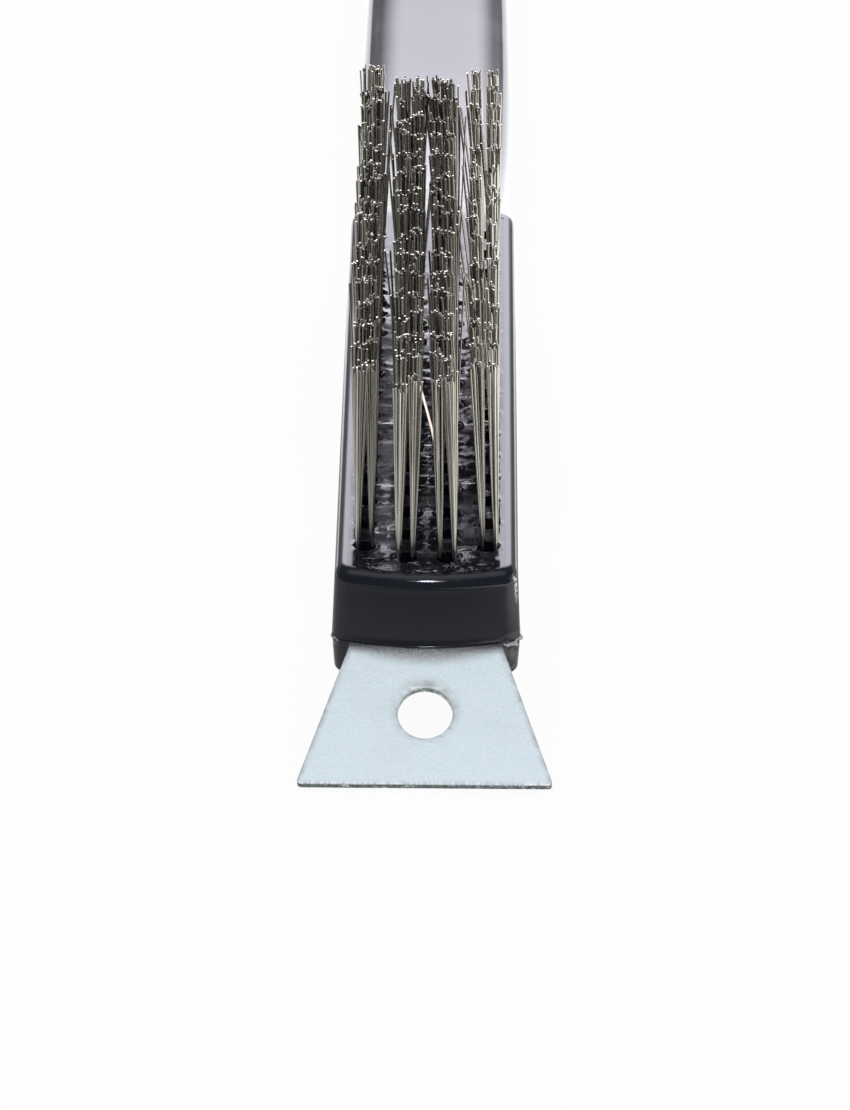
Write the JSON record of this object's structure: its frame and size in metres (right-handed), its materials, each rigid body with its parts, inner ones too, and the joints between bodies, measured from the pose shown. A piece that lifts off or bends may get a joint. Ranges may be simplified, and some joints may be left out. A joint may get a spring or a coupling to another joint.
{
  "type": "wire brush",
  "caption": "Long-handled wire scratch brush: plastic block with staggered steel bristle tufts, a curved grip with a hanging hole, and a flared steel scraper blade bent down at the toe.",
  "frame": {"origin": "centre of the brush block's flat back, the face opposite the bristles", "axes": "+Z out through the bristles from the block's back, +Y from the scraper at the toe towards the end of the handle, +X across the brush"},
  "size_m": [0.0406, 0.3529, 0.0594],
  "materials": {
    "black_plastic": "glossy moulded black polypropylene",
    "zinc_plated_steel": "pale zinc-plated sheet steel, fine mottled grain, sheared edges",
    "bristle_wire": "drawn carbon steel wire, lightly oiled, cut ends bright",
    "anchor_steel": "plain flat steel wire"
  },
  "bodies": {
    "root": {"handle": "black_plastic", "scraper_blade": "zinc_plated_steel", "bristle_row_01": "bristle_wire", "bristle_row_02": "bristle_wire", "bristle_row_03": "bristle_wire", "bristle_row_04": "bristle_wire", "bristle_row_05": "bristle_wire", "bristle_row_06": "bristle_wire", "bristle_row_07": "bristle_wire", "bristle_row_08": "bristle_wire", "bristle_row_09": "bristle_wire", "bristle_row_10": "bristle_wire", "bristle_row_11": "bristle_wire", "bristle_row_12": "bristle_wire", "bristle_row_13": "bristle_wire", "bristle_row_14": "bristle_wire", "bristle_row_15": "bristle_wire", "bristle_row_16": "bristle_wire", "anchor_column_1": "anchor_steel", "anchor_column_2": "anchor_steel", "anchor_column_3": "anchor_steel", "anchor_column_4": "anchor_steel"}
  },
  "joints": []
}
